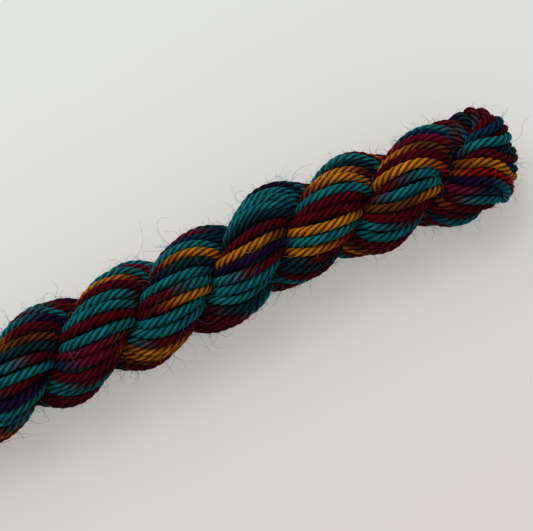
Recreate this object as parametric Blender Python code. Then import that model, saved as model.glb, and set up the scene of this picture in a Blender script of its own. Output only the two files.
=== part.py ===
"""A small hank of plied wool yarn, twisted, folded in half and tucked into itself.

The hank is one soft closed solid of its wound form.  Its two halves ply round each other
in a left-handed twist, so every section across the hank is two lobes side by side, and the
lobes turn as the section moves along.  At the fold end the yarn passes from one half over
into the other, which spreads into a blunt paddle.  At the tuck end one half's end loop
makes a collar round the neck of the other half, whose own end loop stands out as a short
tongue.  The hank lies along X with its fold end at +X, and rests on Z = 0, where the
underside of each turn is pressed flat.
"""

import math

import bmesh
import bpy

# Driving dimensions, in metres.
HANK_LENGTH = 0.236
PLY_PITCH = 0.0504          # one full turn of the two halves round each other
HALF_OFFSET = 0.0066        # centre of each half, out from the hank's centre line
HALF_RADIAL = 0.0087        # half thickness of one half, outwards from the centre line
HALF_TANGENTIAL = 0.0114    # half width of one half, round the centre line
REST_HEIGHT = 0.0140        # height of the centre line above the surface
SIDE_BY_SIDE_X = 0.0952     # where the halves lie side by side nearest the fold end

# The fold end: a blunt paddle where the halves run into each other.
FOLD_HALF_WIDTH = 0.0150
FOLD_HALF_HEIGHT = 0.0142
FOLD_BLEND = 0.013          # length over which the twist runs out into the paddle
FOLD_CLOSING = 0.0125       # length over which the paddle rounds off
FOLD_BLUNTNESS = 2.5

# The tuck end: a collar round a neck, and the tongue that comes through it.
COLLAR_FROM_END = 0.0225
COLLAR_HALF_LENGTH = 0.0105
COLLAR_RADIUS = 0.0148
TONGUE_HALF_WIDTH = 0.0098
TONGUE_HALF_HEIGHT = 0.0086
TONGUE_CLOSING = 0.0085
TONGUE_BLUNTNESS = 2.2

# Slight unevenness, as the hank lies: a turn that stands out, and an end that droops.
BULGE_X = 0.047
BULGE_SIDE = 0.0026
BULGE_LENGTH = 0.016
DROOP_X = 0.080
DROOP_SIDE = -0.0026
DROOP_LENGTH = 0.022
SWELL = 0.03                # share by which the hank thickens towards its tuck end

# Mesh fineness.
POINTS_ROUND = 48
STATION_STEP = 0.0034
CLOSING_STATIONS = 7

WOOL_COLOUR = (0.17, 0.035, 0.075, 1.0)
WOOL_ROUGHNESS = 0.9

END_X = HANK_LENGTH / 2.0


def smoothstep(value):
    """Rises from 0 to 1 with level ends as the value goes from 0 to 1."""
    share = min(max(value, 0.0), 1.0)
    return share * share * (3.0 - 2.0 * share)


def centre_y(x):
    """Sideways place of the centre line: one turn bulges out and the fold end droops."""
    bulge = BULGE_SIDE * math.exp(-((x - BULGE_X) / BULGE_LENGTH) ** 2)
    droop = DROOP_SIDE * smoothstep((x - DROOP_X) / DROOP_LENGTH)
    return bulge + droop


def ellipse_radius(angle, half_width, half_height):
    """Distance from an ellipse's centre to its edge, width along Y and height along Z."""
    across = math.cos(angle) / half_width
    upward = math.sin(angle) / half_height
    return 1.0 / math.hypot(across, upward)


def lobe_radius(angle):
    """Distance from the centre line to the far edge of a lobe whose middle is at angle 0.

    The lobe is an ellipse whose centre is HALF_OFFSET out, and the centre line runs
    inside it, so a ray from the centre line leaves it once.
    """
    radial = math.cos(angle) / HALF_RADIAL
    tangential = math.sin(angle) / HALF_TANGENTIAL
    offset = HALF_OFFSET / HALF_RADIAL
    quadratic = radial * radial + tangential * tangential
    linear = radial * offset
    constant = offset * offset - 1.0
    return (linear + math.sqrt(linear * linear - quadratic * constant)) / quadratic


def twist_angle(x):
    """Turn of the two halves round the centre line: left-handed, so it falls as x grows."""
    return -2.0 * math.pi * (x - SIDE_BY_SIDE_X) / PLY_PITCH


def twisted_radius(angle, x):
    """Edge of the two lobes, whichever of them reaches further out at this angle."""
    first = lobe_radius(angle - twist_angle(x))
    second = lobe_radius(angle - twist_angle(x) - math.pi)
    swell = 1.0 + SWELL * (END_X - x) / HANK_LENGTH
    return swell * max(first, second)


def closing_share(distance, length, bluntness):
    """How open a section is at a distance from its end: 0 at the tip, 1 past the length."""
    left = 1.0 - min(distance / length, 1.0)
    return (1.0 - left ** bluntness) ** (1.0 / bluntness)


def section_radius(angle, x):
    """Edge of the hank at an angle round its centre line: 0 is +Y and 90 degrees is +Z."""
    radius = twisted_radius(angle, x)
    from_fold = END_X - x
    from_tuck = x + END_X

    paddle = ellipse_radius(angle, FOLD_HALF_WIDTH, FOLD_HALF_HEIGHT)
    paddle_share = 1.0 - smoothstep((from_fold - FOLD_CLOSING) / FOLD_BLEND)
    radius += (paddle - radius) * paddle_share

    tongue = ellipse_radius(angle, TONGUE_HALF_WIDTH, TONGUE_HALF_HEIGHT)
    tongue_share = 1.0 - smoothstep((from_tuck - TONGUE_CLOSING) / COLLAR_HALF_LENGTH)
    radius += (tongue - radius) * tongue_share

    collar_place = (from_tuck - COLLAR_FROM_END) / COLLAR_HALF_LENGTH
    collar_share = 1.0 - smoothstep(abs(collar_place))
    radius += (COLLAR_RADIUS - radius) * collar_share

    radius *= closing_share(from_fold, FOLD_CLOSING, FOLD_BLUNTNESS)
    radius *= closing_share(from_tuck, TONGUE_CLOSING, TONGUE_BLUNTNESS)
    return radius


def stations():
    """Places along X for the sections: even along the hank, closer where an end rounds."""
    closing = [math.pi / 2.0 * (n + 1) / CLOSING_STATIONS for n in range(CLOSING_STATIONS)]
    tuck = [-END_X + TONGUE_CLOSING * (1.0 - math.cos(turn)) for turn in closing]
    fold = [END_X - FOLD_CLOSING * (1.0 - math.cos(turn)) for turn in reversed(closing)]
    span = fold[0] - tuck[-1]
    count = round(span / STATION_STEP)
    between = [tuck[-1] + span * n / count for n in range(1, count)]
    return tuck + between + fold


def section_points(x):
    """The points round one section, with the underside pressed flat on the surface.

    They start from the twist's own angle, so that rows of them follow the grooves.
    """
    points = []
    for n in range(POINTS_ROUND):
        angle = twist_angle(x) + 2.0 * math.pi * n / POINTS_ROUND
        radius = section_radius(angle, x)
        side = centre_y(x) + radius * math.cos(angle)
        height = REST_HEIGHT + radius * math.sin(angle)
        points.append((x, side, max(height, 0.0)))
    return points


def add_cap(bm, pole_x, ring, outward):
    """Closes an end with a fan from its pole to the last section."""
    pole = bm.verts.new((pole_x, centre_y(pole_x), REST_HEIGHT))
    for n, vert in enumerate(ring):
        following = ring[(n + 1) % len(ring)]
        fan = (pole, vert, following) if outward > 0 else (pole, following, vert)
        bm.faces.new(fan)


def centre_on_origin(bm):
    """Shifts the hank so that its box stands centred on the origin."""
    for axis in range(2):
        low = min(vert.co[axis] for vert in bm.verts)
        high = max(vert.co[axis] for vert in bm.verts)
        for vert in bm.verts:
            vert.co[axis] -= (low + high) / 2.0


def wool_material():
    """Matt dyed wool in the hank's overall colour."""
    material = bpy.data.materials.new("dyed_wool")
    material.use_nodes = True
    shader = material.node_tree.nodes["Principled BSDF"]
    shader.inputs["Base Color"].default_value = WOOL_COLOUR
    shader.inputs["Roughness"].default_value = WOOL_ROUGHNESS
    shader.inputs["Metallic"].default_value = 0.0
    return material


def make_hank():
    """Joins the sections into one closed solid and closes both ends."""
    bm = bmesh.new()
    rings = [[bm.verts.new(point) for point in section_points(x)] for x in stations()]
    for ring, following in zip(rings, rings[1:]):
        for n in range(POINTS_ROUND):
            m = (n + 1) % POINTS_ROUND
            bm.faces.new((ring[n], ring[m], following[m], following[n]))
    add_cap(bm, END_X, rings[-1], 1.0)
    add_cap(bm, -END_X, rings[0], -1.0)
    centre_on_origin(bm)
    bmesh.ops.triangulate(bm, faces=bm.faces[:])
    bmesh.ops.recalc_face_normals(bm, faces=bm.faces[:])
    mesh = bpy.data.meshes.new("hank")
    bm.to_mesh(mesh)
    bm.free()
    mesh.shade_smooth()
    mesh.set_sharp_from_angle(angle=math.radians(50.0))
    mesh.materials.append(wool_material())
    hank = bpy.data.objects.new("hank", mesh)
    bpy.context.scene.collection.objects.link(hank)
    return hank


def main():
    for left_over in list(bpy.data.objects):
        bpy.data.objects.remove(left_over, do_unlink=True)
    make_hank()


main()
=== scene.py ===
"""A small hank of hand-dyed, four-ply wool, wound, twisted, folded in half and tucked in.

The yarn is laid out turn by turn as it lies in a real hank: a ring of turns pulled
straight and twisted, folded in half so that the halves ply round each other, and closed by
passing one half's end loop round the neck of the other.  The turns are then settled
against each other and the table, given their four plies, dyed, and covered in a halo of
loose fibres.
"""

import functools
import math

import bpy
import numpy as np
from mathutils import Matrix, Vector


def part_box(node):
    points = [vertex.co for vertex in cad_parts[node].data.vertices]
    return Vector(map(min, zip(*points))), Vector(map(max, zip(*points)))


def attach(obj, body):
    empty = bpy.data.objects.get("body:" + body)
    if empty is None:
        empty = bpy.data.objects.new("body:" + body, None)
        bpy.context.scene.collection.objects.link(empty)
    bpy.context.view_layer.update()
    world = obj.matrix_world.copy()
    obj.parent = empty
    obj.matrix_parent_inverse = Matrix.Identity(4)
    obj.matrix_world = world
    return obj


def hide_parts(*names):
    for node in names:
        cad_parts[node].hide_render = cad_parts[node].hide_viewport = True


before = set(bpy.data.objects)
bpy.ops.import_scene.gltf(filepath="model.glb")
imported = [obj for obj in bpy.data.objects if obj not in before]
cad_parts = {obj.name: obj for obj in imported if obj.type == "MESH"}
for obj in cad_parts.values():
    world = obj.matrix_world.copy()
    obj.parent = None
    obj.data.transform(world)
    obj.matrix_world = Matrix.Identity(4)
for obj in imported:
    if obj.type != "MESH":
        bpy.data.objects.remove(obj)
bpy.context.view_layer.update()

bl_info = {
    "name": "Yarn hank",
    "version": (1, 0, 0),
    "blender": (4, 5, 0),
    "location": "3D Viewport > Sidebar > Yarn hank",
    "description": "Winds, dyes and stages a small twisted hank of plied wool",
    "category": "Add Mesh",
}

BOX_LOW, BOX_HIGH = (np.array(corner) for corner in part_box("hank"))
HALF_LENGTH = float(BOX_HIGH[0])
HANK_NODE = "hank"
HANK_BODY = "root"

# The build-up of one half of the hank: how many passes lie in each layer, and how far out.
LAYERS = ((1, 0.0004), (6, 0.0028), (9, 0.0051), (12, 0.0074))
# Mesh fineness for the layers: points round the yarn, and metres between its rings.
LAYER_MESH = ((8, 0.0014), (8, 0.0014), (12, 0.0011), (16, 0.00085))

BULGE_SIDE, BULGE_X, BULGE_REACH = 0.0026, 0.047, 0.016
DROOP_SIDE, DROOP_X, DROOP_REACH = 0.0026, 0.080, 0.022

MAP_ROWS = 13               # that a turn's map is cut into
MAP_MARGIN = 0.04           # free edge on each side of a row, as a share of its height

ARC_STEP = 0.0004           # spacing of the points that a pass is first laid out on
STRAND_TWIST = 305.0        # turn of the passes inside a half, radians per metre of hank
HALF_RADIUS = 0.0082        # edge of the disc that the passes fill
FOLD_LENGTH = 0.012         # reach of the fold's flattening, each way from its middle
FOLD_HALF_WIDTH = 0.0134    # of the ribbon that the passes spread into at the fold
FOLD_HALF_THICK = 0.0025
FOLD_CALM = 0.75            # share of the passes' twist that the fold holds back
FOLD_CALM_LENGTH = 0.008
FOLD_RADIUS = 0.0038        # of the halves' common line where it turns back at the fold
FOLD_GRIP = 0.014           # length in which the halves close up to that radius
FOLD_CROWN = 0.0030         # how far the fold's outer passes draw back from its middle
FOLD_FROM_END = 0.0042
FOLD_FREEZE = 0.0160        # from the end, where the plying halves stop turning at the fold
TWIST_EASE = 0.005
PASS_TWIST_EASE = 0.012     # length in which the passes' twist sets in after the neck
NECK_EASE = 0.018           # length in which a half draws in to the neck
NECK_LEAD = 0.004           # how far both of those begin on the plied side
PASS_OVERRUN = 0.011        # left off a pass, which turns back before the hank's end
FREEZE_FROM_END = 0.046     # where the halves stop plying, before the tuck
COLLAR_FROM_END = 0.0225
COLLAR_SPACING = 0.00245
COLLAR_LAYER = 0.0022
COLLAR_SLANT = 0.0045
COLLAR_LEAD = 0.014
COLLAR_COLUMNS = 7          # rows of passes along the collar, each two layers deep
COLLAR_JOIN = math.radians(75.0)
COLLAR_LINK = 1.25          # length of the link's end directions, as a share of its span
NECK_OFFSET = -0.0020
NECK_RADIUS = 0.0080
TONGUE_FROM_END = 0.0015
TONGUE_READ = 0.006         # from the tongue's end, where the gap between passes is read
TONGUE_BLUNTNESS = 0.475    # how far a pass stops short, as a share of that gap
TONGUE_CROWN = 0.0022       # how far the tongue's upper and lower passes draw back
TONGUE_HALF_THICK = 0.0074
HALF_FLATTENING = 0.26      # how far a half's inner side is pressed in by the other half
HALF_WIDENING = 1.06        # how much wider than deep the plied halves are
WANDER = 0.00035            # slow wandering of each pass in its half
WANDER_WAVES = 7
WANDER_RATES = (60.0, 260.0)

DRAWN_RADIUS = 0.58         # of the yarn, as a share of the room that it keeps
PLY_CENTRE, PLY_SIZE = 0.52, 0.48
UNEVENNESS = 0.035          # swelling of the yarn along its length
UNEVEN_WAVES = (20, 60)     # fewest and most swellings in one turn
SETTLE_STEP = 0.00125
SETTLE_ROUNDS = 160
SEARCH_EVERY = 8            # rounds between searches for neighbours
SEARCH_REACH = 1.3          # in yarn thicknesses
OWN_NEIGHBOURS = 3          # points each way along a strand that never touch it
THICKNESS_SPREAD = 0.04
LAYING_TENSION = 0.995      # length that a strand keeps
CROWD_DAMPING = 0.35        # how much each further contact slows a point
HOLD = 0.995                # share of its drift that a point keeps in each round
DRIFT_EVENING = 0.35        # share of its drift that a point takes from its neighbours


def smooth(value):
    """Rises from 0 to 1 with level ends as the value goes from 0 to 1."""
    share = np.clip(value, 0.0, 1.0)
    return share * share * (3.0 - 2.0 * share)


def unit(vectors):
    """Each vector divided by its length."""
    return vectors / np.linalg.norm(vectors, axis=-1, keepdims=True)


# ---------------------------------------------------------------- the hank's own space

def centre_y(x):
    """Sideways place of the centre line: one turn bulges out and the fold end droops."""
    bulge = BULGE_SIDE * np.exp(-((x - BULGE_X) / BULGE_REACH) ** 2)
    return bulge - DROOP_SIDE * smooth((x - DROOP_X) / DROOP_REACH)


def ply_angle(x, shape):
    """Turn of the first half round the centre line.

    It falls evenly as x grows, a left-handed twist, and levels off before the tuck and
    again at the fold.
    """
    freeze = FREEZE_FROM_END - HALF_LENGTH
    turning = freeze + TWIST_EASE * np.logaddexp(0.0, (x - freeze) / TWIST_EASE)
    last = HALF_LENGTH - FOLD_FREEZE
    turning = last - TWIST_EASE * np.logaddexp(0.0, (last - turning) / TWIST_EASE)
    return -2.0 * math.pi * (turning - shape.side_by_side) / shape.ply_pitch


def twisted(x, out, across, shape):
    """Carries untwisted coordinates into the hank.

    x runs along the hank, out is the distance towards the first half, across is square to
    both, and the pair of them turns by the ply angle at x.
    """
    angle = ply_angle(x, shape)
    side = out * np.cos(angle) - across * np.sin(angle) + centre_y(x)
    up = out * np.sin(angle) + across * np.cos(angle) + shape.rest_height
    return np.stack([x, side, up], -1)


def untwisted(points, shape):
    """The reverse of twisted: x, out and across of points in the hank."""
    x = points[..., 0]
    angle = ply_angle(x, shape)
    side = points[..., 1] - centre_y(x)
    up = points[..., 2] - shape.rest_height
    return x, side * np.cos(angle) + up * np.sin(angle), up * np.cos(angle) - side * np.sin(angle)


# ---------------------------------------------------------------- laying out the turns

def half_section():
    """Distance out, angle and layer of each pass in the section of one half."""
    radius, angle, layer = [], [], []
    for depth, (count, distance) in enumerate(LAYERS):
        offset = 0.0 if count % 2 else 0.5
        angle.append((np.arange(count) + offset) * 2.0 * math.pi / count)
        radius.append(np.full(count, distance))
        layer.append(np.full(count, depth))
    return np.concatenate(radius), np.concatenate(angle), np.concatenate(layer)


def wander(rng, count, s):
    """Slow sideways drift: for each pass a sum of seven sine waves of random length."""
    size = rng.normal(size=(count, WANDER_WAVES, 1)) * WANDER / math.sqrt(WANDER_WAVES / 2.0)
    rate = rng.uniform(*WANDER_RATES, size=(count, WANDER_WAVES, 1))
    phase = rng.uniform(0.0, 2.0 * math.pi, size=(count, WANDER_WAVES, 1))
    return (size * np.sin(rate * s + phase)).sum(1)


def ribbon(rise, shift):
    """Spreads a disc's points into a ribbon.

    A point goes as far across the ribbon as the share of the disc's area on its left says,
    and as far through it as it lies up its own chord of the disc.
    """
    left = np.clip(shift / HALF_RADIUS, -0.999, 0.999)
    chord = np.sqrt(1.0 - left ** 2)
    share = (np.arcsin(left) + left * chord) * 2.0 / math.pi
    depth = np.clip(rise / (HALF_RADIUS * chord), -1.0, 1.0)
    return FOLD_HALF_THICK * depth, FOLD_HALF_WIDTH * share


def lay_passes(shape, rng):
    """Every pass from the tongue's end, over the fold, to the collar's end.

    The halves' common centre line is a hairpin: a half circle at the fold and a straight
    run down each side, twisted by the ply angle.  Each pass goes round that line in a
    right-handed helix.  At the fold the halves close up and spread into a flat ribbon.
    """
    radius, start, layer = half_section()
    offset = shape.half_offset
    reach = 2.0 * HALF_LENGTH - PASS_OVERRUN
    s = np.arange(-reach, reach, ARC_STEP)
    quarter = math.pi * FOLD_RADIUS / 2.0
    bend = np.clip(s, -quarter, quarter) / FOLD_RADIUS
    run = np.maximum(np.abs(s) - quarter, 0.0)
    x = HALF_LENGTH - FOLD_FROM_END - FOLD_RADIUS + FOLD_RADIUS * np.cos(bend) - run
    out = (FOLD_RADIUS + (offset - FOLD_RADIUS) * smooth(run / FOLD_GRIP)) * np.sin(bend)
    freeze = FREEZE_FROM_END - HALF_LENGTH
    neck = smooth((freeze + NECK_LEAD - x) / NECK_EASE) * (s < 0.0)
    out = out + (NECK_OFFSET - out) * neck
    centre = twisted(x, out, np.zeros_like(x), shape)
    along = unit(np.gradient(centre, axis=0))
    angle = ply_angle(x, shape)
    outward = np.stack([np.cos(bend), np.sin(bend) * np.cos(angle), np.sin(bend) * np.sin(angle)], -1)
    outward = unit(outward - (outward * along).sum(-1, keepdims=True) * along)
    sideways = np.cross(along, outward)

    fold = np.exp(-(s / FOLD_LENGTH) ** 4)
    calm = FOLD_CALM * np.exp(-(s / FOLD_CALM_LENGTH) ** 4)
    rate = (1.0 - calm) * smooth((x - freeze + NECK_LEAD) / PASS_TWIST_EASE)
    turned = np.concatenate([[0.0], np.cumsum(0.5 * (rate[1:] + rate[:-1]) * np.diff(s))])
    half_turns = round(STRAND_TWIST * turned[-1] / math.pi)
    turned = (turned - turned[-1]) * half_turns * math.pi / turned[-1]
    theta = start[:, None] + turned
    pressed = HALF_FLATTENING * (1.0 - fold) * (1.0 - neck)
    rise, shift = radius[:, None] * np.cos(theta), radius[:, None] * np.sin(theta)
    thin, wide = ribbon(rise, shift)
    rise = np.where(rise < 0.0, rise * (1.0 - pressed), rise)
    rise = rise + (thin - rise) * fold + wander(rng, len(radius), s)
    shift = shift * HALF_WIDENING
    shift = shift + (wide - shift) * fold + wander(rng, len(radius), s)
    passes = centre + rise[..., None] * outward + shift[..., None] * sideways
    passes[..., 0] -= FOLD_CROWN * (shift / FOLD_HALF_WIDTH) ** 2 * fold
    return s, x, passes


def bezier(start, leave, end, arrive, count):
    """Cubic curve from start to end whose end directions are leave and arrive."""
    t = np.linspace(0.0, 1.0, count)[:, None]
    first, second = start + leave / 3.0, end - arrive / 3.0
    rest = 1.0 - t
    return rest ** 3 * start + 3 * rest ** 2 * t * first + 3 * rest * t * t * second + t ** 3 * end


def collar_end(way, side, ring_x, ring_radius, s, x, shape):
    """Carries a pass off its half and half way round the neck.

    The collar is a slanted ring: at an angle from the first half's side, out and across go
    round a circle about the neck while x falls from the body side to the far side.
    """
    def ring(angle):
        slant = ring_x + COLLAR_SLANT * np.cos(angle)
        return twisted(slant, NECK_OFFSET + ring_radius * np.cos(angle),
                       side * ring_radius * np.sin(angle), shape)

    kept = way[(s >= 0.0) & (x > ring_x + COLLAR_LEAD)]
    round_neck = ring(np.linspace(COLLAR_JOIN, math.pi, 40))
    leave = unit(kept[-1] - kept[-3])
    arrive = unit(round_neck[1] - round_neck[0])
    span = COLLAR_LINK * np.linalg.norm(round_neck[0] - kept[-1])
    link = bezier(kept[-1], leave * span, round_neck[0], arrive * span, 30)
    return np.concatenate([kept, link[1:], round_neck[1:]])


def tongue_end(first, second, shape):
    """Joins two passes at the end of the tongue by a half circle across it.

    Gives the half circle and the x at which the passes stop.
    """
    def across_at(way, place):
        x, out, across = untwisted(way, shape)
        order = np.argsort(x)
        return np.array([np.interp(place, x[order], part[order]) for part in (out, across)])

    tip = TONGUE_FROM_END - HALF_LENGTH
    a, b = across_at(first, tip + TONGUE_READ), across_at(second, tip + TONGUE_READ)
    height = abs((a + b)[0] / 2.0 - NECK_OFFSET) / TONGUE_HALF_THICK
    stop = tip + TONGUE_BLUNTNESS * np.linalg.norm(a - b) + TONGUE_CROWN * height ** 2
    a, b = across_at(first, stop), across_at(second, stop)
    turn = np.linspace(0.0, math.pi, 24)[1:-1, None]
    middle, half = (a + b) / 2.0, (a - b) / 2.0
    flat = middle + half * np.cos(turn)
    x = stop - np.linalg.norm(half) * np.sin(turn[:, 0])
    return twisted(x, flat[:, 0], flat[:, 1], shape), stop


def pair_passes():
    """Pairs the passes that face each other across the hank, from the inside outwards."""
    radius, angle, _ = half_section()
    rise, shift = radius * np.cos(angle), radius * np.sin(angle)
    order = np.argsort(shift + 1e-6 * rise)
    low, high = np.split(order, 2)
    low = low[np.lexsort((np.round(-shift[low], 5), np.round(rise[low], 5)))]
    high = high[np.lexsort((np.round(shift[high], 5), np.round(rise[high], 5)))]
    return list(zip(low, high))


def lay_turns(shape, rng):
    """The closed path of each turn, and the layer that its mesh fineness follows."""
    s, x, passes = lay_passes(shape, rng)
    layer = half_section()[2]
    paths, layers = [], []
    pairs = pair_passes()
    for rank, (low, high) in enumerate(pairs):
        column, lap = divmod(rank, 2)
        row = (COLLAR_COLUMNS - 1) / 2.0 - column + 0.5 * lap
        ring_x = COLLAR_FROM_END - HALF_LENGTH + row * COLLAR_SPACING
        ring_radius = NECK_RADIUS + lap * COLLAR_LAYER
        tongue_side = s < 0.0
        bend, stop = tongue_end(passes[low][tongue_side], passes[high][tongue_side], shape)
        up = collar_end(passes[high], -1.0, ring_x, ring_radius, s, x, shape)
        down = collar_end(passes[low], 1.0, ring_x, ring_radius, s, x, shape)
        before_fold = tongue_side & (x > stop)
        paths.append(np.concatenate([passes[high][before_fold], up, down[::-1][1:],
                                     passes[low][before_fold][::-1], bend]))
        layers.append(max(layer[low], layer[high]))
    return paths, layers


def resample(path, step):
    """Evenly spaced points along a closed path, about a step apart."""
    closed = np.concatenate([path, path[:1]])
    length = np.concatenate([[0.0], np.cumsum(np.linalg.norm(np.diff(closed, axis=0), axis=1))])
    count = int(round(length[-1] / step))
    places = np.arange(count) * length[-1] / count
    return np.stack([np.interp(places, length, closed[:, axis]) for axis in range(3)], -1)


# ---------------------------------------------------------------- settling the turns

def near_pairs(points, reach, turn, index, length):
    """Pairs of points closer than the reach, leaving out close neighbours on one turn.

    Points are sorted by the cube of side reach that holds them, and each point is paired
    with all the points of its own cube and of the cubes around it.
    """
    cube = np.floor((points - points.min(0)) / reach).astype(np.int64)
    size = cube.max(0) + 3
    key = (cube[:, 0] * size[1] + cube[:, 1]) * size[2] + cube[:, 2]
    order = np.argsort(key, kind="stable")
    ordered = key[order]
    firsts, seconds = [], []
    steps = np.array([-1, 0, 1])
    shifts = (steps[:, None, None] * size[1] + steps[None, :, None]) * size[2] + steps
    for shift in shifts[shifts >= 0]:
        low = np.searchsorted(ordered, key + shift, "left")
        count = np.searchsorted(ordered, key + shift, "right") - low
        first = np.repeat(np.arange(len(points)), count)
        skipped = np.concatenate([[0], np.cumsum(count)[:-1]])
        second = order[np.repeat(low - skipped, count) + np.arange(count.sum())]
        once = first < second if shift == 0 else np.ones(len(first), bool)
        firsts.append(first[once])
        seconds.append(second[once])
    first, second = np.concatenate(firsts), np.concatenate(seconds)
    gap = np.abs(index[first] - index[second])
    gap = np.minimum(gap, length[first] - gap)
    own = (turn[first] == turn[second]) & (gap <= OWN_NEIGHBOURS)
    close = ((points[first] - points[second]) ** 2).sum(1) < reach * reach
    return first[close & ~own], second[close & ~own]


def settle(paths, shape, rng):
    """Presses the turns apart until they lie beside each other and on the table.

    Each round moves apart the points of different strands that are nearer than a yarn's
    thickness, restores the spacing along each strand, evens out the movement along it,
    draws it slightly back to where it was laid, and lifts what is below the table.
    """
    starts = [resample(path, SETTLE_STEP) for path in paths]
    count = np.array([len(start) for start in starts])
    first = np.concatenate([[0], np.cumsum(count)[:-1]])
    turn = np.repeat(np.arange(len(starts)), count)
    point = np.concatenate(starts)
    total = len(point)
    index = np.arange(total) - first[turn]
    length = count[turn]
    after = np.where(index == length - 1, first[turn], np.arange(total) + 1)
    before = np.where(index == 0, first[turn] + length - 1, np.arange(total) - 1)
    thick = (shape.yarn_diameter * (1.0 + THICKNESS_SPREAD * rng.normal(size=len(starts))))[turn]
    for _ in range(6):
        point = 0.5 * point + 0.25 * (point[after] + point[before])
    laid = point.copy()
    spacing = LAYING_TENSION * np.linalg.norm(point[after] - point, axis=1)
    for step in range(SETTLE_ROUNDS):
        if step % SEARCH_EVERY == 0:
            one, other = near_pairs(point, SEARCH_REACH * shape.yarn_diameter, turn, index, length)
            room = 0.5 * (thick[one] + thick[other])
        gap = point[other] - point[one]
        distance = np.sqrt((gap * gap).sum(1)) + 1e-9
        push = gap * (0.5 * np.maximum(room - distance, 0.0) / distance)[:, None]
        pressed = (room > distance).astype(float)
        touching = np.bincount(other, pressed, total) + np.bincount(one, pressed, total)
        moved = np.stack([np.bincount(other, part, total) - np.bincount(one, part, total)
                          for part in push.T], -1)
        point = point + moved / (1.0 + CROWD_DAMPING * np.maximum(touching - 1.0, 0.0))[:, None]
        for _ in range(2):
            reach = point[after] - point
            stretch = np.sqrt((reach * reach).sum(1)) + 1e-9
            pull = reach * (0.5 * (stretch - spacing) / stretch)[:, None]
            point = point + 0.5 * (pull - pull[before])
        drift = point - laid
        evened = 0.5 * DRIFT_EVENING * (drift[after] + drift[before])
        drift = HOLD * ((1.0 - DRIFT_EVENING) * drift + evened)
        point = laid + drift
        point[:, 2] = np.maximum(point[:, 2], DRAWN_RADIUS * thick)
    return [point[turn == number] for number in range(len(starts))], thick[first]


@functools.lru_cache(maxsize=1)
def settled_turns(_values):
    """The settled path, thickness and mesh layer of each turn, kept while the values stay."""
    shape = bpy.context.scene.hank_shape
    rng = np.random.default_rng(shape.winding)
    paths, layers = lay_turns(shape, rng)
    settled, thick = settle(paths, shape, rng)
    return settled, thick, layers


def wound_turns():
    """The settled turns for the settings as they are now."""
    shape = bpy.context.scene.hank_shape
    return settled_turns(tuple(getattr(shape, name) for name in shape.__annotations__))


# ---------------------------------------------------------------- the yarn's surface

def carried_frames(along):
    """Directions across a closed path that turn no more than the path makes them.

    Each tangent's turn into the next is a rotation matrix (Rodrigues), and the running
    product of those, found by doubling, carries the first direction along the path.
    """
    previous = along[:-1]
    axis = np.cross(previous, along[1:])
    cosine = (previous * along[1:]).sum(-1)
    skew = np.zeros((len(axis), 3, 3))
    skew[:, 0, 1], skew[:, 0, 2], skew[:, 1, 2] = -axis[:, 2], axis[:, 1], -axis[:, 0]
    skew[:, 1, 0], skew[:, 2, 0], skew[:, 2, 1] = axis[:, 2], -axis[:, 1], axis[:, 0]
    carry = np.eye(3) + skew + skew @ skew / (1.0 + cosine)[:, None, None]
    reach = 1
    while reach < len(carry):
        carry[reach:] = carry[reach:] @ carry[:-reach].copy()
        reach *= 2
    helper = np.eye(3)[np.argmin(np.abs(along[0]))]
    start = unit(np.cross(along[0], helper))
    first = np.concatenate([start[None], carry @ start])
    return unit(first - (first * along).sum(-1, keepdims=True) * along)


def smooth_closed(path, count):
    """Points of a closed path read off a periodic cubic (Catmull-Rom) at even steps."""
    total = len(path)
    place = np.arange(count) * total / count
    start = np.floor(place).astype(int)
    t = (place - start)[:, None]
    p = [path[(start + offset) % total] for offset in (-1, 0, 1, 2)]
    return p[1] + 0.5 * t * (p[2] - p[0] + t * (2 * p[0] - 5 * p[1] + 4 * p[2] - p[3]
                                                + t * (3 * (p[1] - p[2]) + p[3] - p[0])))


def yarn_surface(path, thick, layer, shape, rng):
    """Four plies laid left-handed round a closed path.

    Round the yarn the radius follows the outline of four circles side by side, and the
    whole outline turns backwards along the path once in every ply length.
    """
    around, step = LAYER_MESH[layer]
    length = np.linalg.norm(np.roll(path, -1, 0) - path, axis=1).sum()
    rings = int(round(length / step))
    middle = smooth_closed(path, rings)
    along = unit(np.roll(middle, -1, 0) - np.roll(middle, 1, 0))
    first = carried_frames(along)
    second = np.cross(along, first)
    closing = math.atan2((first[-1] * second[0]).sum(), (first[-1] * first[0]).sum())
    turns = round(length / shape.yarn_ply_length)
    share = np.arange(rings) / rings
    turn = -share * (2.0 * math.pi * turns + closing)
    angle = np.arange(around) * 2.0 * math.pi / around
    ply = (angle + math.pi / 4.0) % (math.pi / 2.0) - math.pi / 4.0
    outline = PLY_CENTRE * np.cos(ply) + np.sqrt(PLY_SIZE ** 2 - (PLY_CENTRE * np.sin(ply)) ** 2)
    waves = 2 * math.pi * (share[:, None] * rng.integers(*UNEVEN_WAVES, 3) + rng.random(3))
    uneven = 1.0 + UNEVENNESS * np.sin(waves).sum(1)
    radius = DRAWN_RADIUS * thick * uneven[:, None] * outline
    facing = turn[:, None] + angle
    offset = np.cos(facing)[..., None] * first[:, None] + np.sin(facing)[..., None] * second[:, None]
    points = middle[:, None] + radius[..., None] * offset
    flat = np.stack(np.broadcast_arrays(share[:, None] * length, 0.5 * thick * np.cos(angle),
                                        0.5 * thick * np.sin(angle)), -1)
    return points, flat


def ring_faces(rings, around):
    """Quads of a closed tube: ring and side of each corner, wrapping both ways."""
    ring = np.arange(rings)[:, None]
    side = np.arange(around)[None]
    after, beside = (ring + 1) % rings, (side + 1) % around
    corner = [ring * around + side, ring * around + beside, after * around + beside, after * around + side]
    return np.stack(np.broadcast_arrays(*corner), -1).reshape(-1, 4)


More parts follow.
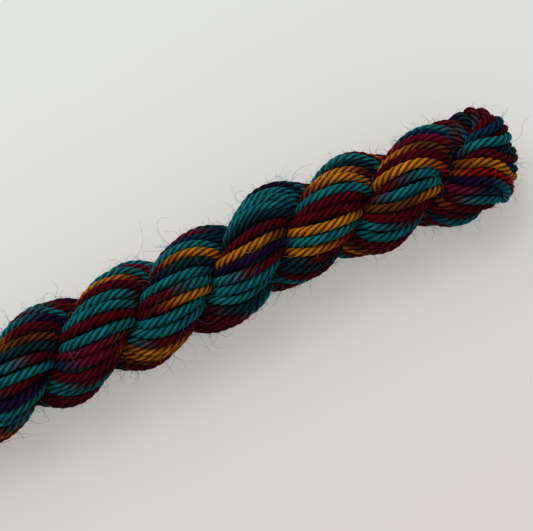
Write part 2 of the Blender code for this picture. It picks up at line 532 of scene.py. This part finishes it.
def tube_map(rings, around, rows):
    """Map corners of a tube cut into rows that are stacked up a square."""
    ring = np.arange(rings)[:, None] * np.ones(around)[None]
    side = np.ones(rings)[:, None] * np.arange(around)[None]
    row = np.floor(ring * rows / rings)
    low = np.ceil(row * rings / rows)
    width = np.ceil(rings / rows) + 1.0
    start, end = (ring - low) / width, (ring - low + 1) / width
    u = np.stack([start, start, end, end], -1)
    across = np.stack([side, side + 1, side + 1, side], -1) / around
    v = (row[..., None] + MAP_MARGIN + (1.0 - 2.0 * MAP_MARGIN) * across) / rows
    return np.stack([u, v], -1).reshape(-1, 2)


def mesh_object(name, points, faces, material):
    """A smooth-shaded mesh object from whole arrays of points and quads."""
    mesh = bpy.data.meshes.new(name)
    corners = faces.shape[1]
    mesh.vertices.add(len(points))
    mesh.vertices.foreach_set("co", points.astype(np.float32).ravel())
    mesh.loops.add(faces.size)
    mesh.loops.foreach_set("vertex_index", faces.astype(np.int32).ravel())
    mesh.polygons.add(len(faces))
    mesh.polygons.foreach_set("loop_start", np.arange(0, faces.size, corners, dtype=np.int32))
    mesh.update(calc_edges=True)
    mesh.validate()
    mesh.shade_smooth()
    mesh.materials.append(material)
    made = bpy.data.objects.new(name, mesh)
    bpy.context.scene.collection.objects.link(made)
    return made


def add_attribute(made, name, kind, values):
    """Stores whole arrays of values on a mesh's points."""
    layer = made.data.attributes.new(name, kind, "POINT")
    key = "color" if kind == "FLOAT_COLOR" else "vector"
    layer.data.foreach_set(key, values.astype(np.float32).ravel())


def add_map(made, corners):
    """Gives a mesh its map, as whole arrays of corners."""
    layer = made.data.uv_layers.new(name="OFBake")
    layer.uv.foreach_set("vector", corners.astype(np.float32).ravel())


# ---------------------------------------------------------------- the dyes

DYE_REPEAT = (
    ("burgundy", 0.050), ("teal", 0.052), ("burgundy", 0.034), ("gold", 0.030), ("brown", 0.018),
    ("magenta", 0.030), ("navy", 0.024), ("teal", 0.046), ("burgundy", 0.044), ("red", 0.016),
    ("gold", 0.024), ("burgundy", 0.028), ("slate", 0.034), ("purple", 0.022), ("teal", 0.036),
)
FADE = 0.006                # half the length in which one dye gives way to the next
STRETCHING = (0.7, 1.35)    # least and most that a dyed part is of its charted length


def dyed(length_along, length, dyes, rng):
    """Colour along a turn: the dye repeat from a random start, each dye fading into the next."""
    names = [name for name, _ in DYE_REPEAT]
    span = np.array([part for _, part in DYE_REPEAT])
    repeats = int(math.ceil(length / span.sum())) + 2
    order = np.concatenate([np.arange(len(names))] * repeats)
    part = np.concatenate([span] * repeats) * rng.uniform(*STRETCHING, len(order))
    edge = np.concatenate([[0.0], np.cumsum(part)])
    place = length_along + rng.uniform(0.0, span.sum())
    colour = np.zeros((len(place), 3))
    for number in range(len(order)):
        rise = smooth((place - edge[number] + FADE) / (2 * FADE))
        fall = smooth((place - edge[number + 1] + FADE) / (2 * FADE))
        colour += (rise - fall)[:, None] * np.array(getattr(dyes, names[order[number]]))
    return colour


def dyed_paths():
    """Colour at every point of every settled turn, turn after turn."""
    scene = bpy.context.scene
    rng = np.random.default_rng(scene.hank_shape.winding + 300)
    colours = []
    for path in wound_turns()[0]:
        part = np.linalg.norm(np.roll(path, -1, 0) - path, axis=1)
        colours.append(dyed(np.cumsum(part) - part, part.sum(), scene.yarn_dyes, rng))
    return colours


def link(tree, out_node, out_name, in_node, in_name):
    """Joins an output socket to an input socket."""
    tree.links.new(out_node.outputs[out_name], in_node.inputs[in_name])


FIBRE_RATES = (260.0, 3400.0, 3400.0)   # fibres along and across the yarn, per metre
UPTAKE_RATES = (120.0, 500.0, 500.0)
GROOVE_SHARPNESS = 1.6
# share of the dye taken away in the grooves between plies: painted shade
GROOVE_PAINTED_SHADE = 0.85
GROOVE_DEPTH = 0.5
FIBRE_HEIGHT = 0.9
FIBRE_TONE = (1.5, 0.25)    # factor and lowest value of the fibres' tone
UPTAKE_TONE = (1.3, 0.35)
FIBRE_ROUGHNESS = (0.3, 0.5)


def calculate(tree, operation, first, second=None):
    """A maths node's result; each operand is an output socket or a number."""
    node = tree.nodes.new("ShaderNodeMath")
    node.operation = operation
    for number, value in enumerate((first, second)):
        if isinstance(value, bpy.types.NodeSocket):
            tree.links.new(value, node.inputs[number])
        elif value is not None:
            node.inputs[number].default_value = value
    return node.outputs["Value"]


def scaled(tree, value, factor, lowest):
    """A value times a factor, plus a lowest value."""
    return calculate(tree, "ADD", calculate(tree, "MULTIPLY", value, factor), lowest)


def new_group(name, inputs, outputs):
    """A node group with its sockets, its input and output nodes and its tree."""
    tree = bpy.data.node_groups.new(name, "ShaderNodeTree")
    for way, sockets in (("INPUT", inputs), ("OUTPUT", outputs)):
        for label, kind in sockets:
            tree.interface.new_socket(name=label, in_out=way, socket_type=kind)
    return tree, tree.nodes.new("NodeGroupInput"), tree.nodes.new("NodeGroupOutput")


def spread_noise(tree, vector, scale, detail):
    """Noise of a vector that is first stretched by its own factor along each axis."""
    stretch = tree.nodes.new("ShaderNodeVectorMath")
    stretch.operation = "MULTIPLY"
    stretch.inputs[1].default_value = scale
    tree.links.new(vector, stretch.inputs[0])
    noise = tree.nodes.new("ShaderNodeTexNoise")
    noise.inputs["Scale"].default_value = 1.0
    noise.inputs["Detail"].default_value = detail
    noise.inputs["Roughness"].default_value = 0.6
    tree.links.new(stretch.outputs["Vector"], noise.inputs["Vector"])
    return noise.outputs["Fac"]


def fibre_group():
    """Colour, height and roughness of wool laid in four plies.

    The yarn's own coordinates run along it and across it in the frame that turns with its
    plies.  The squared sine of twice the angle in that frame is one in the grooves between
    plies.  Noise stretched along the yarn gives fibres, and slower noise an uneven uptake
    of dye.  The colour is the dye with painted shade in the grooves, darker between fibres.
    """
    tree, given, result = new_group(
        "plied_wool_painted_groove_shade", (("Dye", "NodeSocketColor"), ("Laid straight", "NodeSocketVector")),
        (("Color", "NodeSocketColor"), ("Height", "NodeSocketFloat"), ("Roughness", "NodeSocketFloat")))
    straight = given.outputs["Laid straight"]
    parts = tree.nodes.new("ShaderNodeSeparateXYZ")
    tree.links.new(straight, parts.inputs["Vector"])
    a2 = calculate(tree, "MULTIPLY", parts.outputs["Y"], parts.outputs["Y"])
    b2 = calculate(tree, "MULTIPLY", parts.outputs["Z"], parts.outputs["Z"])
    total = calculate(tree, "ADD", a2, b2)
    product = calculate(tree, "MULTIPLY", calculate(tree, "MULTIPLY", a2, b2), 4.0)
    groove = calculate(tree, "DIVIDE", product, calculate(tree, "MULTIPLY", total, total))
    groove = calculate(tree, "POWER", groove, GROOVE_SHARPNESS)
    fibres = spread_noise(tree, straight, FIBRE_RATES, 4.0)
    uptake = spread_noise(tree, straight, UPTAKE_RATES, 2.0)
    # painted shade: the dye is darkened in the grooves between plies, where shade falls
    depth = calculate(tree, "SUBTRACT", 1.0, calculate(tree, "MULTIPLY", groove, GROOVE_PAINTED_SHADE))
    streak = scaled(tree, fibres, *FIBRE_TONE)
    uneven = scaled(tree, uptake, *UPTAKE_TONE)
    tone = calculate(tree, "MULTIPLY", calculate(tree, "MULTIPLY", depth, streak), uneven)
    scale = tree.nodes.new("ShaderNodeVectorMath")
    scale.operation = "SCALE"
    tree.links.new(given.outputs["Dye"], scale.inputs["Vector"])
    tree.links.new(tone, scale.inputs["Scale"])
    tree.links.new(scale.outputs["Vector"], result.inputs["Color"])
    relief = calculate(tree, "MULTIPLY", fibres, FIBRE_HEIGHT)
    sunk = calculate(tree, "MULTIPLY", groove, GROOVE_DEPTH)
    tree.links.new(calculate(tree, "SUBTRACT", relief, sunk), result.inputs["Height"])
    tree.links.new(scaled(tree, fibres, *FIBRE_ROUGHNESS), result.inputs["Roughness"])
    return tree


def yarn_material(name, sheen):
    """Wool: the dyed fibres, varied in tone and with painted shade in the grooves, their fine relief and a
    slight sheen.
    """
    material = bpy.data.materials.new(name)
    material.use_nodes = True
    tree = material.node_tree
    shader = tree.nodes["Principled BSDF"]
    shader.inputs["Specular IOR Level"].default_value = 0.06
    shader.inputs["Sheen Weight"].default_value = sheen
    shader.inputs["Sheen Roughness"].default_value = 0.45
    wool = tree.nodes.new("ShaderNodeGroup")
    wool.node_tree = bpy.data.node_groups.get("plied_wool_painted_groove_shade") or fibre_group()
    for attribute, kind, socket in (("dye", "Color", "Dye"), ("laid_straight", "Vector", "Laid straight")):
        node = tree.nodes.new("ShaderNodeAttribute")
        node.attribute_name = attribute
        link(tree, node, kind, wool, socket)
    bump = tree.nodes.new("ShaderNodeBump")
    bump.inputs["Strength"].default_value = 0.8
    bump.inputs["Distance"].default_value = 0.00025
    link(tree, wool, "Color", shader, "Base Color")
    link(tree, wool, "Roughness", shader, "Roughness")
    link(tree, wool, "Height", bump, "Height")
    link(tree, bump, "Normal", shader, "Normal")
    return material


# painted light: the warm tint near and the cool tint far stand in for warm and cool light falling on the
# sheet
PAPER_WARM_PAINTED_LIGHT = (0.385, 0.368, 0.357, 1.0)
PAPER_COOL_PAINTED_LIGHT = (0.398, 0.404, 0.394, 1.0)
PAINTED_LIGHT_BLEND = (-0.09, 0.13)     # y at which the painted light on the sheet is wholly warm and wholly cool
PAPER_MOTTLE = 0.06             # how far the mottle moves that blend
MOTTLE_RATE = 9.0


def paper_group():
    """Colour of a pale sheet with painted light: cool light painted at its far side, warm light painted
    near, with a slight mottle.

    The blend follows the sheet's own y with level ends, and slow noise shifts it a little.
    """
    tree, given, result = new_group("pale_paper_painted_light", (("Place", "NodeSocketVector"),),
                                    (("Color", "NodeSocketColor"),))
    mottle = spread_noise(tree, given.outputs["Place"], (MOTTLE_RATE,) * 3, 3.0)
    parts = tree.nodes.new("ShaderNodeSeparateXYZ")
    tree.links.new(given.outputs["Place"], parts.inputs["Vector"])
    place = calculate(tree, "ADD", parts.outputs["Y"], calculate(tree, "MULTIPLY", mottle, PAPER_MOTTLE))
    blend = tree.nodes.new("ShaderNodeMapRange")
    blend.interpolation_type = "SMOOTHSTEP"
    blend.inputs["From Min"].default_value, blend.inputs["From Max"].default_value = PAINTED_LIGHT_BLEND
    tree.links.new(place, blend.inputs["Value"])
    mix = tree.nodes.new("ShaderNodeMix")
    mix.data_type = "RGBA"
    warm, cool = [socket for socket in mix.inputs if socket.type == "RGBA"]
    # painted light: warm near, cool far
    warm.default_value = PAPER_WARM_PAINTED_LIGHT
    cool.default_value = PAPER_COOL_PAINTED_LIGHT
    tree.links.new(blend.outputs["Result"], mix.inputs["Factor"])
    mixed = next(socket for socket in mix.outputs if socket.type == "RGBA")
    tree.links.new(mixed, result.inputs["Color"])
    return tree


def table_material():
    """A pale, matt sheet that glows with painted light, so that the shade on it stays faint."""
    material = bpy.data.materials.new("pale_table_painted_glow")
    material.use_nodes = True
    tree = material.node_tree
    shader = tree.nodes["Principled BSDF"]
    shader.inputs["Roughness"].default_value = 0.8
    shader.inputs["Specular IOR Level"].default_value = 0.1
    # painted glow: the sheet gives off light in its own colour, which lifts the shadow of the hank on it
    shader.inputs["Emission Strength"].default_value = 0.62
    paper = tree.nodes.new("ShaderNodeGroup")
    paper.node_tree = paper_group()
    place = tree.nodes.new("ShaderNodeTexCoord")
    link(tree, place, "Object", paper, "Place")
    link(tree, paper, "Color", shader, "Base Color")
    link(tree, paper, "Color", shader, "Emission Color")
    return material


# ---------------------------------------------------------------- the halo of loose fibres

CROWDING_CELL = 0.0016
SURFACE_SHARE = 55.0        # per cent of the points that are too deep for a fibre to grow from
LOWEST_ROOT = 0.004
FIBRE_POINTS = 10
LEAN = np.array([0.55, 0.75, 1.0])      # spread outwards, round the yarn and along it
LEAST_OUTWARD = 0.35
ROOT_SPREAD = 0.9
LENGTH_SPREAD = 0.55
CURL_CHANGE = 0.8
DRIFT_SIZE = 0.5
DRIFT_WAVES = (0.3, 1.4)
FIBRE_LIFT = 0.0002         # least height of a fibre above the table
HALO_MARGIN = 0.008         # how far past the hank's box a fibre may reach
LOOSE_BRIGHTENING = 1.6     # of the dye, where light comes through a single fibre
TIP_TAPER = 0.35            # a fibre's thickness at its tip, as a share of its root's


def crowding(points, cell):
    """How crowded the yarn is on a grid of cells, blurred, and where the grid starts."""
    low = points.min(0) - 4.0 * cell
    place = np.floor((points - low) / cell).astype(int)
    grid = np.zeros(place.max(0) + 5)
    np.add.at(grid, tuple(place.T), 1.0)
    for axis in range(3):
        for _ in range(2):
            grid = 0.5 * grid + 0.25 * (np.roll(grid, 1, axis) + np.roll(grid, -1, axis))
    return grid, low


def grow_fibres(shape, halo, rng):
    """Middle lines of the loose fibres, as an array of fibres by points.

    A fibre starts on the surface of a strand where the yarn gets sparser outwards, which is
    against the gradient of the crowding.  Its heading turns at its own slowly changing rate
    in a plane of its own and drifts out of that plane.
    """
    paths, thick, _ = wound_turns()
    turn = np.repeat(np.arange(len(paths)), [len(path) for path in paths])
    points = np.concatenate(paths)
    along = unit(np.concatenate([np.roll(path, -1, 0) - np.roll(path, 1, 0) for path in paths]))
    grid, low = crowding(points, CROWDING_CELL)
    slope = np.stack(np.gradient(grid), -1)
    place = np.floor((points - low) / CROWDING_CELL).astype(int)
    outward = -slope[tuple(place.T)]
    outward -= (outward * along).sum(-1, keepdims=True) * along
    steep = np.linalg.norm(outward, axis=-1)
    shallow = steep > np.percentile(steep, SURFACE_SHARE)
    open_side = np.flatnonzero(shallow & (points[:, 2] > LOWEST_ROOT))
    root = rng.choice(open_side, halo.fibres)
    count = len(root)
    outward, along = unit(outward[root]), along[root]
    around = np.cross(along, outward)
    lean = rng.normal(size=(count, 3)) * LEAN
    heading = unit(outward * (LEAST_OUTWARD + np.abs(lean[:, :1])) + around * lean[:, 1:2]
                   + along * lean[:, 2:])
    start_side = unit(outward + around * rng.uniform(-ROOT_SPREAD, ROOT_SPREAD, (count, 1)))
    start = points[root] + start_side * (0.50 * thick[turn[root]])[:, None]
    length = halo.length * np.exp(LENGTH_SPREAD * rng.normal(size=count))
    share = np.linspace(0.0, 1.0, FIBRE_POINTS)
    across = unit(np.cross(heading, unit(rng.normal(size=(count, 3)))))
    third = np.cross(heading, across)
    mean_rate = rng.normal(size=(count, 1)) * halo.curl
    rate = mean_rate + rng.normal(size=(count, 1)) * CURL_CHANGE * halo.curl * (share - 0.5)
    bend = np.cumsum(rate * length[:, None] / FIBRE_POINTS, axis=1)
    waves = 2.0 * share * math.pi * rng.uniform(*DRIFT_WAVES, (count, 1))
    drift = DRIFT_SIZE * np.sin(waves + rng.uniform(0, 6.28, (count, 1)))
    way = (heading[:, None] * np.cos(bend)[..., None] + across[:, None] * np.sin(bend)[..., None]
           + third[:, None] * drift[..., None])
    move = unit(way) * (length / (FIBRE_POINTS - 1))[:, None, None]
    fibres = start[:, None] + np.cumsum(move, axis=1) - move
    fibres[..., 2] = np.maximum(fibres[..., 2], FIBRE_LIFT)
    inside = ((fibres > BOX_LOW - HALO_MARGIN) & (fibres < BOX_HIGH + HALO_MARGIN)).all((1, 2))
    return fibres[inside], root[inside]


def fibre_surface(fibres, radius):
    """Three-sided tubes round each line, thinner towards the tip, with both ends open."""
    along = unit(np.gradient(fibres, axis=1))
    upright = np.abs(along[..., 2:]) >= 0.8
    helper = np.where(upright, np.array([1.0, 0.0, 0.0]), np.array([0.0, 0.0, 1.0]))
    first = unit(np.cross(along, helper))
    second = np.cross(along, first)
    steps = fibres.shape[1]
    taper = np.linspace(1.0, TIP_TAPER, steps)[None, :, None, None]
    angle = np.arange(3) * 2.0 * math.pi / 3.0
    offset = np.cos(angle)[:, None] * first[:, :, None] + np.sin(angle)[:, None] * second[:, :, None]
    points = fibres[:, :, None] + radius * taper * offset
    fibre = np.arange(len(fibres))[:, None, None]
    step = np.arange(steps - 1)[None, :, None]
    side = np.arange(3)[None, None]
    beside = (side + 1) % 3
    here, after = (fibre * steps + step) * 3, (fibre * steps + step + 1) * 3
    faces = np.stack(np.broadcast_arrays(here + side, here + beside, after + beside, after + side), -1)
    return points.reshape(-1, 3), faces.reshape(-1, 4)


# ---------------------------------------------------------------- settings

class HankShape(bpy.types.PropertyGroup):
    """Sizes of the hank and its yarn."""

    winding: bpy.props.IntProperty(
        name="Winding", description="Which of the uneven windings is made", default=3)
    ply_pitch: bpy.props.FloatProperty(
        name="Ply pitch", description="Length in which the halves go once round each other",
        default=0.0504, unit="LENGTH")
    half_offset: bpy.props.FloatProperty(
        name="Half offset", description="Distance of each half's middle from the centre line",
        default=0.0066, unit="LENGTH")
    side_by_side: bpy.props.FloatProperty(
        name="Side by side", description="Place nearest the fold where the halves lie side by side",
        default=0.0952, unit="LENGTH")
    rest_height: bpy.props.FloatProperty(
        name="Rest height", description="Height of the centre line above the table",
        default=0.0140, unit="LENGTH")
    yarn_diameter: bpy.props.FloatProperty(
        name="Yarn thickness", description="Thickness of the plied yarn", default=0.0025, unit="LENGTH")
    yarn_ply_length: bpy.props.FloatProperty(
        name="Yarn ply length", description="Length in which the plies go once round the yarn",
        default=0.0100, unit="LENGTH")


class HankHalo(bpy.types.PropertyGroup):
    """The loose fibres that stand off the yarn."""

    fibres: bpy.props.IntProperty(
        name="Fibres", description="How many loose fibres are grown", default=2600, min=1)
    length: bpy.props.FloatProperty(
        name="Length", description="Length of a middling fibre", default=0.0040, unit="LENGTH")
    radius: bpy.props.FloatProperty(
        name="Radius", description="Half the thickness of a fibre", default=0.00005, unit="LENGTH")
    curl: bpy.props.FloatProperty(
        name="Curl", description="How sharply a fibre curls, in radians for each metre of its length",
        default=420.0)


def dye_property(name, description, colour):
    """A colour setting for one dye."""
    return bpy.props.FloatVectorProperty(name=name, description=description, default=colour,
                                         subtype="COLOR", size=3, min=0.0, max=1.0)


class YarnDyes(bpy.types.PropertyGroup):
    """The dyes on the yarn."""

    burgundy: dye_property("Burgundy", "The main dark red", (0.125, 0.0015, 0.014))
    magenta: dye_property("Magenta", "The brighter burgundy", (0.190, 0.004, 0.038))
    teal: dye_property("Teal", "The main blue green", (0.003, 0.190, 0.205))
    slate: dye_property("Slate", "The dark grey teal", (0.004, 0.050, 0.060))
    gold: dye_property("Gold", "The yellow", (0.480, 0.205, 0.006))
    brown: dye_property("Brown", "Where gold meets burgundy", (0.150, 0.058, 0.006))
    navy: dye_property("Navy", "The dark blue", (0.004, 0.050, 0.090))
    purple: dye_property("Purple", "The violet", (0.028, 0.008, 0.050))
    red: dye_property("Red", "The warm red accent", (0.280, 0.008, 0.008))


# ---------------------------------------------------------------- operators

class HANK_OT_wind_turns(bpy.types.Operator):
    """Winds the hank's turns, each as one closed strand of plied yarn"""

    bl_idname = "hank.wind_turns"
    bl_label = "Wind turns"

    def execute(self, context):
        shape = context.scene.hank_shape
        material = yarn_material("dyed_wool", 0.03)
        paths, thick, layers = wound_turns()
        rng = np.random.default_rng(shape.winding + 100)
        for number, (path, width, layer, dye) in enumerate(zip(paths, thick, layers, dyed_paths()), 1):
            points, flat = yarn_surface(path, width, layer, shape, rng)
            rings, around = points.shape[:2]
            made = mesh_object(f"turn_{number:02d}", points.reshape(-1, 3),
                               ring_faces(rings, around), material)
            colour = smooth_closed(dye, rings)
            colour = np.concatenate([colour, np.ones((rings, 1))], 1)
            add_attribute(made, "dye", "FLOAT_COLOR", np.repeat(colour, around, 0))
            add_attribute(made, "laid_straight", "FLOAT_VECTOR", flat.reshape(-1, 3))
            add_map(made, tube_map(rings, around, MAP_ROWS))
            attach(made, HANK_BODY)
            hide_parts(HANK_NODE)
        return {"FINISHED"}


class HANK_OT_grow_halo(bpy.types.Operator):
    """Grows the halo of loose fibres over the settled turns"""

    bl_idname = "hank.grow_halo"
    bl_label = "Grow halo"

    def execute(self, context):
        shape, halo = context.scene.hank_shape, context.scene.hank_halo
        rng = np.random.default_rng(shape.winding + 200)
        fibres, root = grow_fibres(shape, halo, rng)
        points, faces = fibre_surface(fibres, halo.radius)
        made = mesh_object("halo", points, faces, yarn_material("loose_wool", 0.05))
        colours = np.concatenate(dyed_paths())[root]
        colours = np.concatenate([LOOSE_BRIGHTENING * colours, np.ones((len(colours), 1))], 1)
        each = points.shape[0] // len(fibres)
        add_attribute(made, "dye", "FLOAT_COLOR", np.repeat(colours, each, 0))
        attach(made, HANK_BODY)
        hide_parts(HANK_NODE)
        return {"FINISHED"}


TABLE_REACH = 3.0           # from the middle of the table to its sides
ROOM_LIGHT = 0.46
CAMERA_TURN = -26.3         # degrees from the hank's length to the picture's width
CAMERA_ELEVATION = 80.0
CAMERA_TARGET = (0.0347, -0.0032, 0.012)
CAMERA_DISTANCE = 0.36
VIEW_WIDTH = 0.160          # width that fills the picture at the target
SENSOR_WIDTH = 36.0
WINDOW_SIZE, WINDOW_POWER = 1.4, 9.0
WINDOW_LEFT, WINDOW_AWAY, WINDOW_UP = 0.65, 0.65, 0.95


class HANK_OT_set_stage(bpy.types.Operator):
    """Sets the hank on a pale table in soft light, with the camera above it"""

    bl_idname = "hank.set_stage"
    bl_label = "Set stage"

    def execute(self, context):
        scene = context.scene
        scene.view_settings.view_transform = "Standard"
        scene.view_settings.look = "High Contrast"
        sides = ((-1, -1), (1, -1), (1, 1), (-1, 1))
        corners = np.array([(TABLE_REACH * x, TABLE_REACH * y, 0.0) for x, y in sides])
        pale = table_material()
        table = mesh_object("table", corners, np.array([[0, 1, 2, 3]]), pale)
        world = bpy.data.worlds.new("soft_room")
        world.use_nodes = True
        background = world.node_tree.nodes["Background"]
        background.inputs["Color"].default_value = (1.0, 1.0, 1.0, 1.0)
        background.inputs["Strength"].default_value = ROOM_LIGHT
        scene.world = world
        turn = math.radians(CAMERA_TURN)
        right = Vector((math.cos(turn), math.sin(turn), 0.0))
        away = Vector((-math.sin(turn), math.cos(turn), 0.0))
        overhead = Vector((0, 0, 1))
        target = Vector(CAMERA_TARGET)
        elevation = math.radians(CAMERA_ELEVATION)
        back = -away * math.cos(elevation) + overhead * math.sin(elevation)
        up = back.cross(right)
        lens = bpy.data.cameras.new("camera")
        lens.sensor_width = SENSOR_WIDTH
        lens.lens = SENSOR_WIDTH * CAMERA_DISTANCE / VIEW_WIDTH
        lens.clip_start = 0.01
        camera = bpy.data.objects.new("camera", lens)
        basis = Matrix((right, up, back)).transposed().to_4x4()
        camera.matrix_world = Matrix.Translation(target + back * CAMERA_DISTANCE) @ basis
        scene.collection.objects.link(camera)
        scene.camera = camera
        glow = bpy.data.lights.new("window", "AREA")
        glow.shape = "DISK"
        glow.size = WINDOW_SIZE
        glow.energy = WINDOW_POWER
        window = bpy.data.objects.new("window", glow)
        place = target - right * WINDOW_LEFT + away * WINDOW_AWAY + overhead * WINDOW_UP
        facing = (target - place).to_track_quat("-Z", "Y").to_matrix().to_4x4()
        window.matrix_world = Matrix.Translation(place) @ facing
        scene.collection.objects.link(window)
        return {"FINISHED"}


class HANK_PT_panel(bpy.types.Panel):
    """Lists the hank's operators and settings in the 3D view's sidebar"""

    bl_label = "Yarn hank"
    bl_idname = "HANK_PT_panel"
    bl_space_type = "VIEW_3D"
    bl_region_type = "UI"
    bl_category = "Yarn hank"

    def draw(self, context):
        for operator in STEPS:
            self.layout.operator(operator.bl_idname)
        scene = context.scene
        for group in (scene.hank_shape, scene.hank_halo, scene.yarn_dyes):
            for name in group.__annotations__:
                self.layout.prop(group, name)


STEPS = (HANK_OT_wind_turns, HANK_OT_grow_halo, HANK_OT_set_stage)
CLASSES = (HankShape, HankHalo, YarnDyes) + STEPS + (HANK_PT_panel,)


def register():
    """Makes the classes and settings known to Blender."""
    for kind in CLASSES:
        bpy.utils.register_class(kind)
    bpy.types.Scene.hank_shape = bpy.props.PointerProperty(type=HankShape)
    bpy.types.Scene.hank_halo = bpy.props.PointerProperty(type=HankHalo)
    bpy.types.Scene.yarn_dyes = bpy.props.PointerProperty(type=YarnDyes)


def unregister():
    """Takes the settings and classes away again."""
    del bpy.types.Scene.yarn_dyes
    del bpy.types.Scene.hank_halo
    del bpy.types.Scene.hank_shape
    for kind in reversed(CLASSES):
        bpy.utils.unregister_class(kind)


def main():
    """Registers the add-on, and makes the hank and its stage."""
    register()
    bpy.ops.hank.wind_turns()
    bpy.ops.hank.grow_halo()
    bpy.ops.hank.set_stage()


if __name__ == "__main__":
    main()
